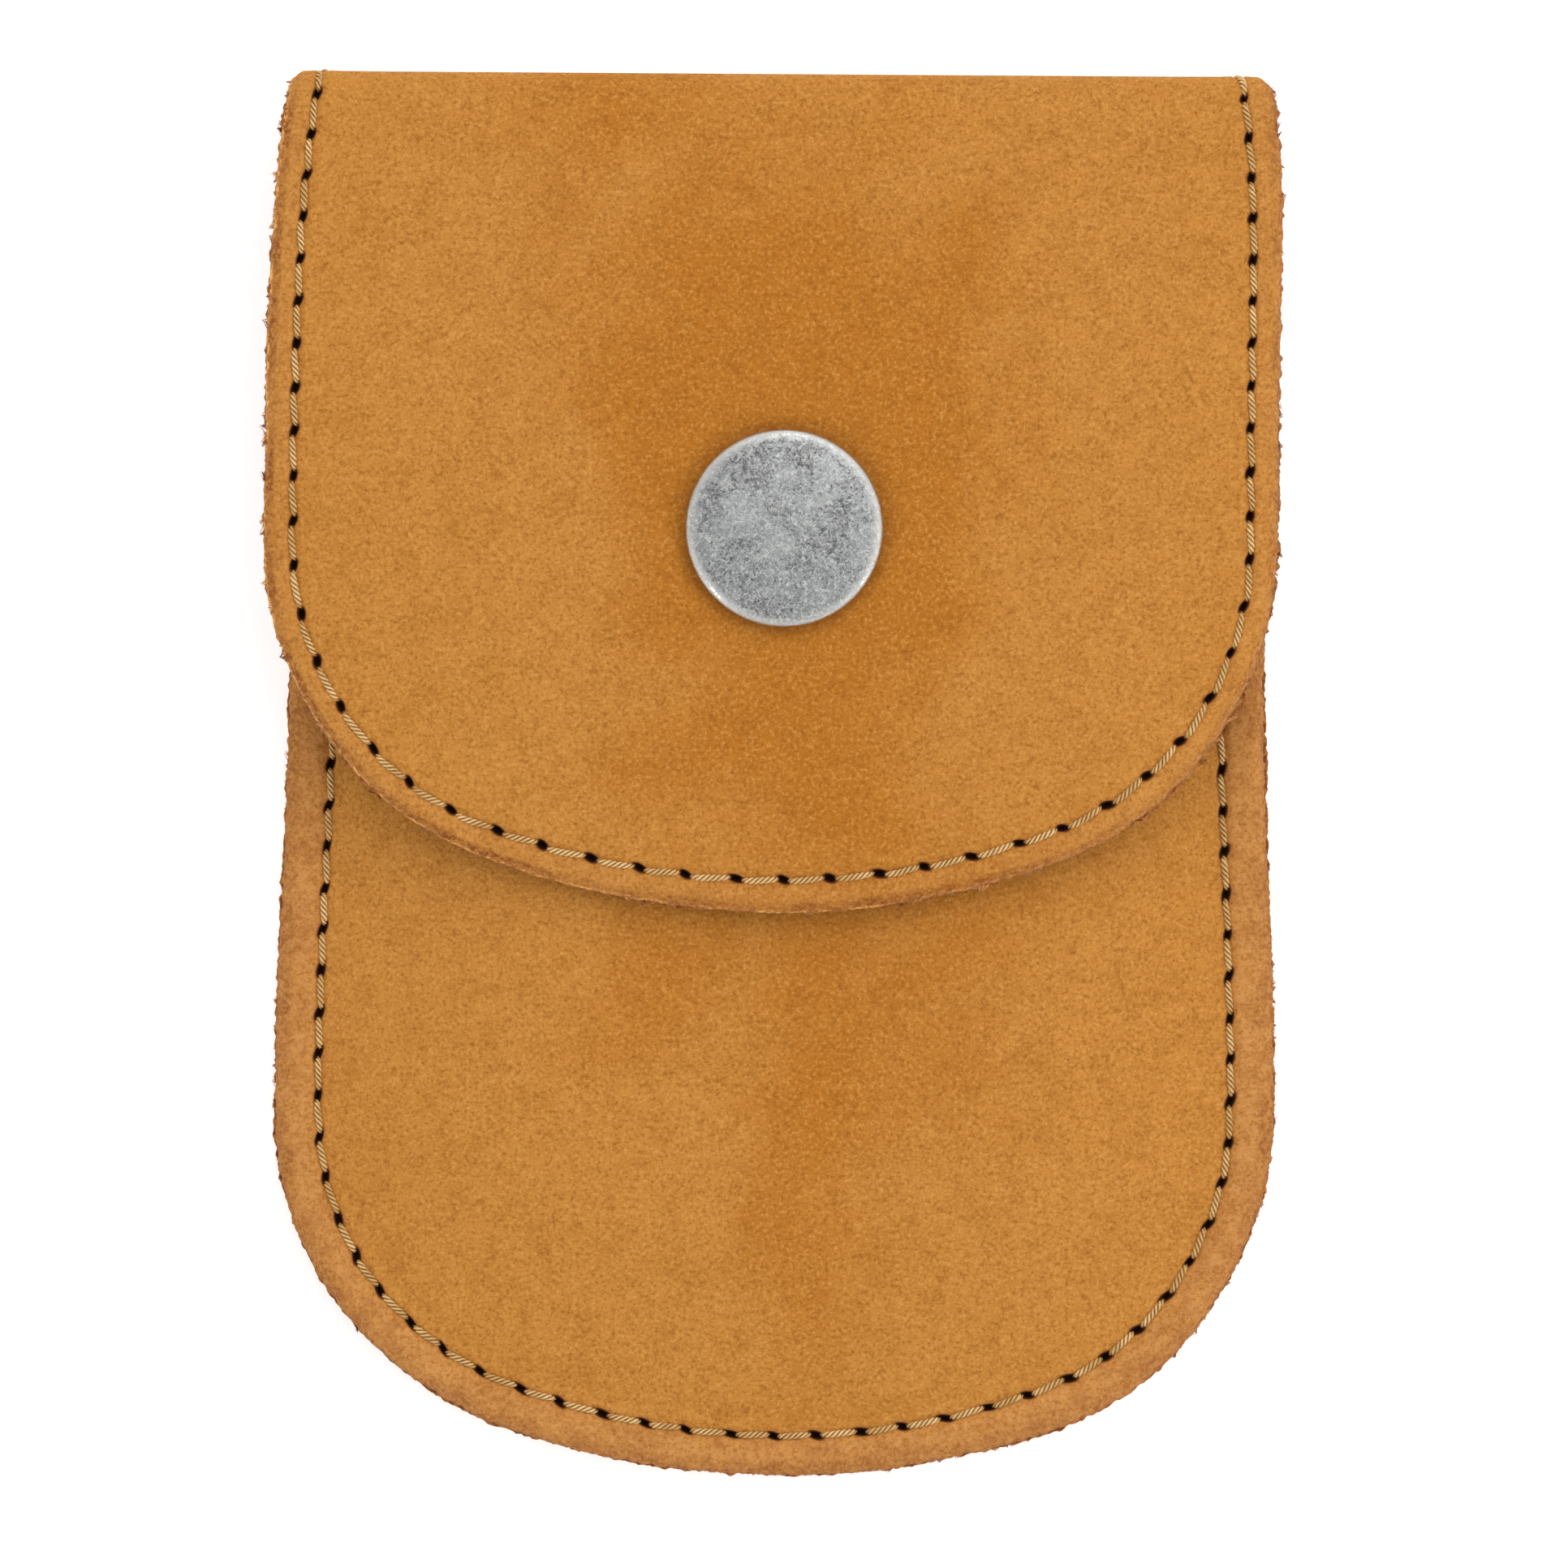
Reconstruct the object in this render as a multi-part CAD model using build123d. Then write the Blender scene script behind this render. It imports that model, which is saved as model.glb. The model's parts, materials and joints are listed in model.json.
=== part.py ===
"""Small leather pouch with a snap flap: back, fold strip and flap of lined leather, one front panel.

The pouch lies on its back. +Z points out of its front, +Y towards the fold at the top, X across.
The origin is under the middle of the pouch's bounding box, on the surface it lies on. Millimetres.
"""
from build123d import *
from collections import namedtuple
from math import hypot, sqrt
import os

# ---------------------------------------------------------------- driving dimensions
LENGTH = 106.8          # top of the fold to the lowest edge
LEATHER = 1.4           # outer leather and front panel
LINING = 0.6            # lining behind the back, the fold and the flap
POCKET = 5.2            # inner height of the pocket behind the snap
SNAP_GAP = 3.2          # front panel to the underside of the closed flap, at the snap
CAP_HEIGHT = 1.8        # snap cap, of which 0.2 is pressed into the leather
CAP_SINK = 0.2
CAP_RADIUS = 7.5        # 15 mm cap
SNAP_BELOW_FOLD = 34.6
SNAP_X = 0.5            # the snap sits half a millimetre right of the middle
MOUTH_BELOW_FOLD = 14.0  # where the front panel ends and the pocket opens
FLAP_ARCH_RADIUS = 170.0   # curve of the flap along its length
FLAP_CROSS_RADIUS = 280.0  # curve across the flap, far from the fold
CREASE_GAP = 0.3        # gap between the round edges of the fold strip and its neighbours

THREAD_WIDTH = 0.7
GROOVE = 0.4            # depth of the stitch groove in the outer leather
LINING_GROOVE = 0.3
FLOOR_CLEARANCE = 0.05  # the thread in the back stays this far above the surface below

# ---------------------------------------------------------------- plan outlines
# A tongue is straight to curve_start, widens on a smooth curve to half_width at the shoulder, then
# turns through a corner arc into a wide bottom arc. Lengths are measured down from the fold.
Tongue = namedtuple("Tongue", "top_half curve_start handles half_width shoulder corner_radius length")

BODY = Tongue(37.0, 45.0, ((37.0, 56.0), (38.1, 68.0)), 38.1, 79.0, 26.0, LENGTH)
FLAP = Tongue(37.1, 0.0, ((38.7, 8.0), (39.05, 22.0)), 39.05, 35.8, 25.5, 64.1)
BODY_SEAM_INSETS = (3.2, 2.9)    # from the side edges, and from the lowest edge
FLAP_SEAM_INSETS = (2.4, 2.8)

# ---------------------------------------------------------------- levels and places worked out
SHELL = LEATHER + LINING
FOLD_Y = LENGTH / 2
SNAP_Y = FOLD_Y - SNAP_BELOW_FOLD
FLANGE_TOP = SHELL + LEATHER                 # front panel along its seam
PLATEAU = SHELL + POCKET + LEATHER           # front panel under the snap
FLAP_UNDER = PLATEAU + SNAP_GAP              # flap's underside above the snap
FLAP_CROWN = FLAP_UNDER + SHELL              # flap's outer face there
CREASE_Y = FOLD_Y - SHELL / 2
FLAP_END_Y = CREASE_Y - SHELL / 2 - CREASE_GAP
FOLD_HALF_WIDTH = FLAP.top_half
WIDE = 200.0                                 # larger than the pouch, for cutting blocks


def flap_height(x, y):
    """Height of the flap's outer face: an arch over the snap that droops to the sides away from the fold."""
    arch = (y - SNAP_Y) ** 2 / (2 * FLAP_ARCH_RADIUS)
    freedom = 1 - (1 - (FOLD_Y - y) / FLAP.length) ** 2
    droop = freedom * x ** 2 / (2 * FLAP_CROSS_RADIUS)
    return FLAP_CROWN - arch - droop


FOLD_TOP = flap_height(0, CREASE_Y)
LOWER_CREASE_Z = SHELL / 2
UPPER_CREASE_Z = FOLD_TOP - SHELL / 2


def tongue_face(shape, side_inset=0.0, end_inset=0.0, overrun=4.0):
    """The tongue's outline, drawn inset from its cut edge and run past the fold at the top."""
    half = shape.half_width - side_inset
    radius = shape.corner_radius - (side_inset + end_inset) / 2
    corner_x = half - radius
    reach = shape.length - end_inset - shape.shoulder
    bottom_radius = (corner_x ** 2 + reach ** 2 - radius ** 2) / (2 * (reach - radius))
    shoulder_y = FOLD_Y - shape.shoulder
    tip_y = shoulder_y - reach
    centre_y = tip_y + bottom_radius

    span = hypot(corner_x, shoulder_y - centre_y)
    join = (corner_x * bottom_radius / span, centre_y + (shoulder_y - centre_y) * bottom_radius / span)
    towards = (half + join[0]) / 2 - corner_x, (shoulder_y + join[1]) / 2 - shoulder_y
    scale = radius / hypot(*towards)
    corner_middle = (corner_x + towards[0] * scale, shoulder_y + towards[1] * scale)

    top = (shape.top_half - side_inset, FOLD_Y + overrun)
    start = (shape.top_half - side_inset, FOLD_Y - shape.curve_start)
    handles = [(x - side_inset, FOLD_Y - down) for x, down in shape.handles]
    right = Line(top, start)
    right += Bezier(start, *handles, (half, shoulder_y))
    right += ThreePointArc((half, shoulder_y), corner_middle, join)
    bottom = ThreePointArc(join, (0, tip_y), (-join[0], join[1]))
    across = Line((-top[0], top[1]), top)
    return make_face(right + mirror(right, Plane.YZ) + bottom + across)


def prism(face, low, high):
    """The face raised to a solid between two heights."""
    return extrude(Pos(0, 0, low) * face, high - low)


def seam_band(shape, insets, low, high):
    """Upright band that holds the seam's thread, open at the fold."""
    side, end = insets
    half_thread = THREAD_WIDTH / 2
    outer = tongue_face(shape, side - half_thread, end - half_thread)
    inner = tongue_face(shape, side + half_thread, end + half_thread, overrun=8.0)
    return prism(outer, low, high) - prism(inner, low - 1, high + 1)


def below(y):
    """Everything on the pouch's side of the plane at y."""
    return Pos(0, y - WIDE / 2, 0) * Box(WIDE, WIDE, WIDE)


def turned(*points):
    """Solid of revolution about the snap's axis, from points given as radius and height."""
    profile = make_face(Plane.XZ * Polyline(*points, close=True))
    return Pos(SNAP_X, SNAP_Y, 0) * revolve(profile, Axis.Z)


def snap_hole(radius, low, high):
    return Pos(SNAP_X, SNAP_Y, (low + high) / 2) * Cylinder(radius, high - low)


# ---------------------------------------------------------------- flap layers
def quadratic_controls(first, middle, last):
    """Control values of the parabola through three evenly spaced values."""
    return first, 2 * middle - (first + last) / 2, last


def flap_layer(depth, thickness):
    """Slab that follows the flap's outer face from a depth below it, ending at the upper crease."""
    xs = (-45.0, 0.0, 45.0)
    ys = (-14.0, (FLAP_END_Y - 14.0) / 2, FLAP_END_Y)
    rows = [quadratic_controls(*(flap_height(x, y) - depth for x in xs)) for y in ys]
    columns = [quadratic_controls(*column) for column in zip(*rows)]
    points = [[(xs[i], ys[j], columns[i][j]) for j in range(3)] for i in range(3)]
    return extrude(Face.make_bezier_surface(points), thickness, dir=(0, 0, -1))


def flap_prism(shape_face):
    return prism(shape_face, 0, 30)


FLAP_BAND = seam_band(FLAP, FLAP_SEAM_INSETS, 0, 30)


def flap_panel():
    panel = flap_layer(0, LEATHER) & flap_prism(tongue_face(FLAP))
    panel -= flap_layer(0, GROOVE) & FLAP_BAND
    panel -= snap_hole(CAP_RADIUS, FLAP_CROWN - CAP_SINK, FLAP_CROWN + 1)
    return panel - snap_hole(2.0, 0, 30)


def flap_lining():
    lining = flap_layer(LEATHER, LINING) & flap_prism(tongue_face(FLAP))
    lining -= flap_layer(SHELL - LINING_GROOVE, LINING_GROOVE) & FLAP_BAND
    lining -= snap_hole(SOCKET_RADIUS, 0, FLAP_UNDER)
    return lining - snap_hole(2.0, 0, 30)


def flap_outer_thread():
    return flap_layer(0, GROOVE) & FLAP_BAND


def flap_inner_thread():
    return flap_layer(SHELL - LINING_GROOVE, LINING_GROOVE) & FLAP_BAND


# ---------------------------------------------------------------- pouch panels
BODY_BAND_LOW = seam_band(BODY, BODY_SEAM_INSETS, FLOOR_CLEARANCE, GROOVE)
BODY_BAND_HIGH = seam_band(BODY, BODY_SEAM_INSETS, FLANGE_TOP - GROOVE, FLANGE_TOP)


def back_panel():
    panel = prism(tongue_face(BODY), 0, LEATHER) & below(FLAP_END_Y)
    return panel - seam_band(BODY, BODY_SEAM_INSETS, -1, GROOVE)


def back_lining():
    return prism(tongue_face(BODY), LEATHER, SHELL) & below(FLAP_END_Y)


def body_back_thread():
    return BODY_BAND_LOW & below(FLAP_END_Y)


def body_front_thread():
    return BODY_BAND_HIGH & below(FOLD_Y - MOUTH_BELOW_FOLD)


def bulge(drop):
    """The raised middle of the front panel, in two gentle slopes up to a plateau, lowered by drop."""
    steps = ((4.6, FLANGE_TOP), (12.0, FLANGE_TOP + 3.0), (22.0, PLATEAU))
    sections = [Pos(0, 0, z - drop) * tongue_face(BODY, inset, inset, 24.0) for inset, z in steps]
    return loft(sections[:2], ruled=True) + loft(sections[1:], ruled=True)


def front_panel():
    panel = prism(tongue_face(BODY), SHELL, FLANGE_TOP)
    panel += bulge(0)
    panel -= bulge(LEATHER)
    panel &= below(FOLD_Y - MOUTH_BELOW_FOLD)
    panel -= BODY_BAND_HIGH
    return panel - snap_hole(1.8, SHELL + 1, PLATEAU + 1)


# ---------------------------------------------------------------- fold strip
def fold_slab(shrink=0.0):
    """Strip between the two creases, with fully rounded long edges."""
    radius = SHELL / 2 - shrink
    width = 2 * FOLD_HALF_WIDTH
    height = UPPER_CREASE_Z - LOWER_CREASE_Z
    slab = Pos(0, CREASE_Y, LOWER_CREASE_Z + height / 2) * Box(width, 2 * radius, height)
    for z in (LOWER_CREASE_Z, UPPER_CREASE_Z):
        slab += Pos(0, CREASE_Y, z) * Rot(0, 90, 0) * Cylinder(radius, width)
    return slab


def fold_bands(y_low, y_high):
    """Two upright bands over the seam lines at the left and right of the fold."""
    x = FOLD_HALF_WIDTH - FLAP_SEAM_INSETS[0]
    block = Box(THREAD_WIDTH, y_high - y_low, WIDE)
    middle = (y_low + y_high) / 2
    return Pos(x, middle, 0) * block + Pos(-x, middle, 0) * block


LINING_FACE_Y = FOLD_Y - LEATHER
OUTER_FOLD_BANDS = fold_bands(CREASE_Y, FOLD_Y + 1) - fold_slab(GROOVE)
INNER_FOLD_BANDS = fold_bands(FOLD_Y - SHELL - 1, FOLD_Y - SHELL + LINING_GROOVE)


def fold_panel():
    return (fold_slab() - below(LINING_FACE_Y)) - OUTER_FOLD_BANDS


def fold_lining():
    return (fold_slab() & below(LINING_FACE_Y)) - INNER_FOLD_BANDS


def fold_outer_thread():
    thread = fold_slab() & OUTER_FOLD_BANDS
    return thread & Pos(0, 0, WIDE / 2 + FLOOR_CLEARANCE) * Box(WIDE, WIDE, WIDE)


def fold_inner_thread():
    return fold_slab() & INNER_FOLD_BANDS


# ---------------------------------------------------------------- snap
SOCKET_RADIUS = 6.2
SOCKET_LOW = PLATEAU + 0.85       # the socket's rim stands clear of the stud's base
SOCKET_CEILING = FLAP_UNDER - 0.4
KNOB_TOP = SOCKET_CEILING - 0.5


def snap_cap():
    """Domed cap with a rolled rim and a hollow post that is flared in the socket."""
    seat = FLAP_CROWN - CAP_SINK
    top = seat + CAP_HEIGHT
    rim_x = CAP_RADIUS - 0.5
    rim_top = seat + 1.0
    dome_rise = top - rim_top
    dome_radius = (rim_x ** 2 + dome_rise ** 2) / (2 * dome_rise)
    halfway = (rim_x / 2, top - dome_radius + sqrt(dome_radius ** 2 - rim_x ** 2 / 4))

    flare = SOCKET_CEILING - 0.2
    bore_end = seat + 0.9
    post = Polyline((0, bore_end), (1.3, bore_end), (1.3, flare), (2.6, flare), (2.6, SOCKET_CEILING),
                    (1.95, SOCKET_CEILING), (1.95, seat), (rim_x, seat))
    rim = ThreePointArc((rim_x, seat), (CAP_RADIUS, (seat + rim_top) / 2), (rim_x, rim_top))
    dome = ThreePointArc((rim_x, rim_top), halfway, (0, top))
    profile = make_face(Plane.XZ * (post + rim + dome + Line((0, top), (0, bore_end))))
    return Pos(SNAP_X, SNAP_Y, 0) * revolve(profile, Axis.Z)


def snap_socket():
    """Flange against the lining and a hub whose bore takes the stud, with a groove for the spring."""
    flange = FLAP_UNDER - 0.6
    return turned((2.0, FLAP_UNDER), (SOCKET_RADIUS, FLAP_UNDER), (SOCKET_RADIUS, flange), (4.5, flange),
                  (4.3, SOCKET_LOW), (3.05, SOCKET_LOW), (3.05, SOCKET_LOW + 0.4),
                  (3.6, SOCKET_LOW + 0.4), (3.6, SOCKET_LOW + 1.05), (3.05, SOCKET_LOW + 1.05),
                  (3.05, SOCKET_CEILING), (2.0, SOCKET_CEILING))


def snap_spring():
    """Split ring of spring wire in the socket's groove."""
    ring = Torus(3.25, 0.28) - Pos(3.25, 0, 0) * Box(2.0, 1.4, 2.0)
    return Pos(SNAP_X, SNAP_Y, SOCKET_LOW + 0.725) * ring


def snap_stud():
    """Base disc and waisted knob, bored for the post that is flared in its top."""
    base = PLATEAU + 0.6
    return turned((1.75, PLATEAU), (5.2, PLATEAU), (5.2, base - 0.15), (4.9, base), (2.5, base),
                  (2.3, base + 0.5), (2.7, base + 1.0), (2.65, KNOB_TOP - 0.3), (2.3, KNOB_TOP),
                  (2.15, KNOB_TOP), (2.15, KNOB_TOP - 0.5), (1.75, KNOB_TOP - 0.5))


def snap_post():
    """Eyelet from inside the pocket: a flat head and a tube flared in the stud."""
    under = PLATEAU - LEATHER
    return turned((1.1, under - 0.65), (4.6, under - 0.65), (5.0, under - 0.35), (5.0, under),
                  (1.7, under), (1.7, KNOB_TOP - 0.45), (2.1, KNOB_TOP - 0.45), (2.1, KNOB_TOP - 0.25),
                  (1.1, KNOB_TOP - 0.25))


# ---------------------------------------------------------------- nodes
NODES = (back_panel, back_lining, front_panel, body_front_thread, body_back_thread,
         fold_panel, fold_lining, fold_outer_thread, fold_inner_thread,
         flap_panel, flap_lining, flap_outer_thread, flap_inner_thread,
         snap_cap, snap_socket, snap_spring, snap_stud, snap_post)


def main():
    os.makedirs("parts", exist_ok=True)
    print("upper crease height", round(UPPER_CREASE_Z, 3), "crease y", round(CREASE_Y, 3))
    for make in NODES:
        solids = make().solids()
        shape = solids[0] if len(solids) == 1 else Compound(children=list(solids))
        export_step(shape, f"parts/{make.__name__}.step")


main()
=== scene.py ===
"""Looks of a small tan nubuck pouch with a snap flap. Sizes inside are millimetres, meshes are metres."""
import json
import math
import random
from collections import namedtuple

import bpy
import numpy as np
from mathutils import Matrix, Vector, noise
from mathutils.geometry import delaunay_2d_cdt
from mathutils.kdtree import KDTree


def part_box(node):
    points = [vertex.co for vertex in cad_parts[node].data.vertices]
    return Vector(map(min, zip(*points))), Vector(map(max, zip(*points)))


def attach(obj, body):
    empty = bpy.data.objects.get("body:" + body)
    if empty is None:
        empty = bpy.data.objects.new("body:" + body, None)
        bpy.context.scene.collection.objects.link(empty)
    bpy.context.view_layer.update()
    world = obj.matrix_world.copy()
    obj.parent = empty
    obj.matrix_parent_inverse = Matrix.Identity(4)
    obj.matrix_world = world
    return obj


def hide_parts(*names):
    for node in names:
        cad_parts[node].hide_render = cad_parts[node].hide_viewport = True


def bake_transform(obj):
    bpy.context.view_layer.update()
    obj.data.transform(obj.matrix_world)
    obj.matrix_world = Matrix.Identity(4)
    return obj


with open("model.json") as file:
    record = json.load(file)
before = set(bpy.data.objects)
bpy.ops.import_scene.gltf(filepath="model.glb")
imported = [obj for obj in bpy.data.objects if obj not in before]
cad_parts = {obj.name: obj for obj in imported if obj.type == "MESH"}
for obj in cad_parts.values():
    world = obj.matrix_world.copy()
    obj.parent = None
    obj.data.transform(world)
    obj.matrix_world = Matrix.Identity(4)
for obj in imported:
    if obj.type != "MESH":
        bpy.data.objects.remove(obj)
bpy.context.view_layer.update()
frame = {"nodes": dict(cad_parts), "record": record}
MM = 0.001


# -------------------- sizes read from the frame
def corners(node):
    """Lowest and highest corner of a CAD node, in millimetres."""
    low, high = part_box(node)
    return np.array(low) / MM, np.array(high) / MM


def crease(name):
    """Y and Z of a crease's hinge axis, in millimetres."""
    joints = frame["record"]["behaviour"]["joints"]
    return np.array([j["pos_m"] for j in joints if j["name"] == name][0][1:]) / MM


BACK = corners("back_panel")
CAP = corners("snap_cap")
FOLD_Y = corners("fold_panel")[1][1]
FOLD_HALF = corners("fold_panel")[1][0]
LEATHER = BACK[1][2] - BACK[0][2]
SHELL = corners("back_lining")[1][2]
FLANGE_TOP = SHELL + LEATHER
PLATEAU = corners("front_panel")[1][2]
MOUTH = FOLD_Y - corners("front_panel")[1][1]
SNAP_X, SNAP_Y = ((CAP[0] + CAP[1]) / 2)[:2]
SNAP_DOWN = FOLD_Y - SNAP_Y
CAP_RADIUS = (CAP[1] - CAP[0])[0] / 2
LOWER_CREASE = crease("lower_crease")
UPPER_CREASE = crease("upper_crease")

FLAP_ARCH_RADIUS = 170.0       # along the flap
FLAP_CROSS_RADIUS = 230.0      # across it, away from the fold
FLAP_CROWN = UPPER_CREASE[1] + SHELL / 2 + (UPPER_CREASE[0] - SNAP_Y) ** 2 / (2 * FLAP_ARCH_RADIUS)
CREASE_RADIUS = SHELL + 0.2    # outer radius of the two creases
MID_FOLD_Z = (LOWER_CREASE[1] + UPPER_CREASE[1]) / 2

# A tongue is a straight stretch, a smooth curve out to its shoulder, a corner arc and a bottom arc.
# Lengths run down from the fold; seam holds the stitch line's distance from the edge at the fold, at the
# shoulder and at the tip. It was cut by hand: trim is the share its right side is cut narrower, and lean
# is how far the tip sits to the right. hole is a needle hole's half length and half width, and how far
# either end of a stitch sits to the side of its line.
Tongue = namedtuple("Tongue", "top_half start_half curve_start handles half_width shoulder length seam "
                              "trim lean hole")
FLAP = Tongue(FOLD_HALF, FOLD_HALF, 0.0, ((38.7, 8.0), (39.05, 22.0)), corners("flap_panel")[1][0], 35.8,
              FOLD_Y - corners("flap_panel")[0][1] - 0.25, (2.4, 2.15, 2.5), 0.026, 0.0, (0.52, 0.31, 0.16))
BODY = Tongue(FOLD_HALF, 37.0, 45.0, ((37.0, 56.0), (38.1, 68.0)), BACK[1][0] - 0.15, 79.0,
              FOLD_Y - BACK[0][1] - 0.2, (2.4, 3.2, 2.9), 0.0, 0.5, (0.58, 0.26, 0.11))
CORNER_RADIUS = 25.5

EDGE = 2.6                     # nominal distance from the cut edge to the stitch line
TUCK = 0.28                    # the grain side is cut this much short of the lining
LINING_GAP = 0.03              # between leather and lining
# Fine rings of mesh points along a panel's edge: distance inside the seam, negative outside it.
RINGS = (-2.6, -2.52, -2.4, -2.24, -2.04, -1.8, -1.5, -1.15, -0.88, -0.7, -0.54, -0.4, -0.27, -0.14, 0.0,
         0.14, 0.27, 0.4, 0.54, 0.72, 1.0, 1.45, 2.1, 3.0)
FLAP_STEP = 0.17               # spacing of mesh points along the flap's stitch line
BODY_STEP = 0.21               # and along the body's
MIDDLE_STEP = 1.3              # spacing in the middle of a panel
MIDDLE_HALF = 60               # half width of the grid of middle points before it is trimmed
TOP_POINTS = 60                # points along a panel's straight top, with its corners
CIRCLE_POINTS = 64             # points in a circle round the snap
CIRCLE_CLEARANCE = 0.6         # kept free of middle points round the widest circle
FAR = 50.0                     # the distance from the seam that all middle points are given
ROLL_WIDTH = 0.95              # width of the worn upper corner of a cut edge
FIBRE_START = 3.0              # the loose fibres start this far below the fold
PALE_END = 27.0                # how far right of the middle the flap's pale cut line reaches
FLAP_PITCH = ((8, 3.15), (36, 3.42), (46, 3.97), (61, 3.66))     # distance below the fold, stitch length
BODY_PITCH = ((79, 3.15), (105, 3.3))
PLY_OFFSET = 0.142             # from the middle of the thread to the middle of one of its plies
PLY_RADIUS = 0.126
PLY_TURN = 1.25                # length of thread in which the plies go once round each other
STITCH_SPAN = (0.11, 0.89)     # where a stitch starts and ends between two holes, as shares of the way


# -------------------- outlines
def insets_at(shape, across):
    """Insets at the fold, side and end of the outline this far inside (+) or outside (-) the seam."""
    if across >= 0:
        return [inset + across for inset in shape.seam]
    return [TUCK + (inset - TUCK) * (1 + across / EDGE) for inset in shape.seam]


def arc_centres(shape, side, end):
    """Corner arc's centre and radius, bottom arc's centre and radius, for an outline drawn inset."""
    radius = CORNER_RADIUS - (side + end) / 2
    corner_x = shape.half_width - side - radius
    reach = shape.length - end - shape.shoulder
    bottom_radius = (corner_x ** 2 + reach ** 2 - radius ** 2) / (2 * (reach - radius))
    return corner_x, radius, shape.shoulder + reach - bottom_radius, bottom_radius


def ease(t):
    """Smooth step from 0 to 1."""
    t = np.clip(t, 0, 1)
    return t * t * (3 - 2 * t)


def outline(shape, insets, top, step):
    """X and distance below the fold, from the upper right round the tip to the upper left.

    The number of points depends on shape, top and step only, so outlines with other insets match up."""
    fold, side, end = insets
    corner_x, radius, bottom_down, bottom_radius = arc_centres(shape, side, end)
    turn = math.atan2(corner_x, shape.shoulder - bottom_down)
    flat_x, flat_radius, flat_down, flat_bottom = arc_centres(shape, 0, 0)
    flat_turn = math.atan2(flat_x, shape.shoulder - flat_down)
    lengths = (shape.curve_start - top, shape.shoulder - shape.curve_start,
               flat_radius * (math.pi / 2 - flat_turn), flat_bottom * flat_turn)
    counts = [max(2, round(length / step)) for length in lengths]

    straight = np.linspace(top, shape.curve_start, counts[0], endpoint=False)
    share = np.clip(straight / max(shape.curve_start, 1), 0, 1)
    straight_x = (shape.top_half - fold) * (1 - share) + (shape.start_half - side) * share
    t = np.linspace(0, 1, counts[1], endpoint=False)
    controls = [(shape.start_half, shape.curve_start), *shape.handles, (shape.half_width, shape.shoulder)]
    weights = ((1 - t) ** 3, 3 * t * (1 - t) ** 2, 3 * t ** 2 * (1 - t), t ** 3)
    curve_x = sum(w * (c[0] - side) for w, c in zip(weights, controls))
    curve_down = sum(w * c[1] for w, c in zip(weights, controls))
    a = np.linspace(0, math.pi / 2 - turn, counts[2], endpoint=False)
    b = np.linspace(turn, 0, counts[3] + 1)
    x = np.concatenate([straight_x, curve_x, corner_x + radius * np.cos(a), bottom_radius * np.sin(b)])
    down = np.concatenate([straight, curve_down, shape.shoulder + radius * np.sin(a),
                           bottom_down + bottom_radius * np.cos(b)])
    right = x * (1 - shape.trim * ease(down / 30))
    shift = shape.lean * ease((down / shape.length - 0.85) / 0.1)
    return np.concatenate([right + shift, (shift - x)[-2::-1]]), np.concatenate([down, down[-2::-1]])


class Seam:
    """A stitch line in a panel's own flat coordinates, with its length, its normal and its needle holes.

    count grows by one from hole to hole, and is phase at the tip. With like, the holes are those of another
    seam with the same tip."""
    DRIFT = 0.03                   # how far a hole strays from its even place, in stitches

    def __init__(self, shape, top, to_run, pitches, step, phase=0.0, like=None):
        self.x, down = outline(shape, insets_at(shape, 0.0), top, step)
        self.hole = shape.hole
        self.run = to_run(down)
        dx, dr = np.gradient(self.x), np.gradient(self.run)
        size = np.hypot(dx, dr)
        self.inward = np.stack([-dr / size, dx / size])
        along = np.concatenate([[0], np.cumsum(np.hypot(np.diff(self.x), np.diff(self.run)))])
        self.from_tip = along - along[-1] / 2
        self.pitch = np.interp(down, *zip(*pitches))
        if like is None:
            steps = np.diff(along) / (self.pitch[1:] + self.pitch[:-1]) * 2
            half = steps.sum() / 2
            count = np.concatenate([[0], np.cumsum(steps)]) - half
            before, after = round(half + phase), round(half - phase)
            self.count = phase + count * np.where(count < 0, before + phase, after - phase) / half
            drift = np.sin(math.pi * along / along[-1]) * np.sin(2.3 * self.count)
            self.count += self.DRIFT * drift
        else:
            self.count = np.interp(self.from_tip, like.from_tip, like.count)

    def holes(self):
        """Count values of the needle holes that lie on the line."""
        return np.arange(math.ceil(self.count[0] - 0.01), math.floor(self.count[-1] + 0.01) + 1)

    def at(self, count, across):
        """Flat coordinates of a place given as a stitch count and a distance inward from the line."""
        flat = [np.interp(count, self.count, v) for v in (self.x, self.run, self.inward[0], self.inward[1])]
        return flat[0] + across * flat[2], flat[1] + across * flat[3]


# -------------------- surfaces
def flap_drop(x, down):
    """How far the flap's sides hang below its middle line."""
    freedom = 1 - (1 - np.clip(down, 0, FLAP.length) / FLAP.length) ** 2
    return freedom * x ** 2 / (2 * FLAP_CROSS_RADIUS)


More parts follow.
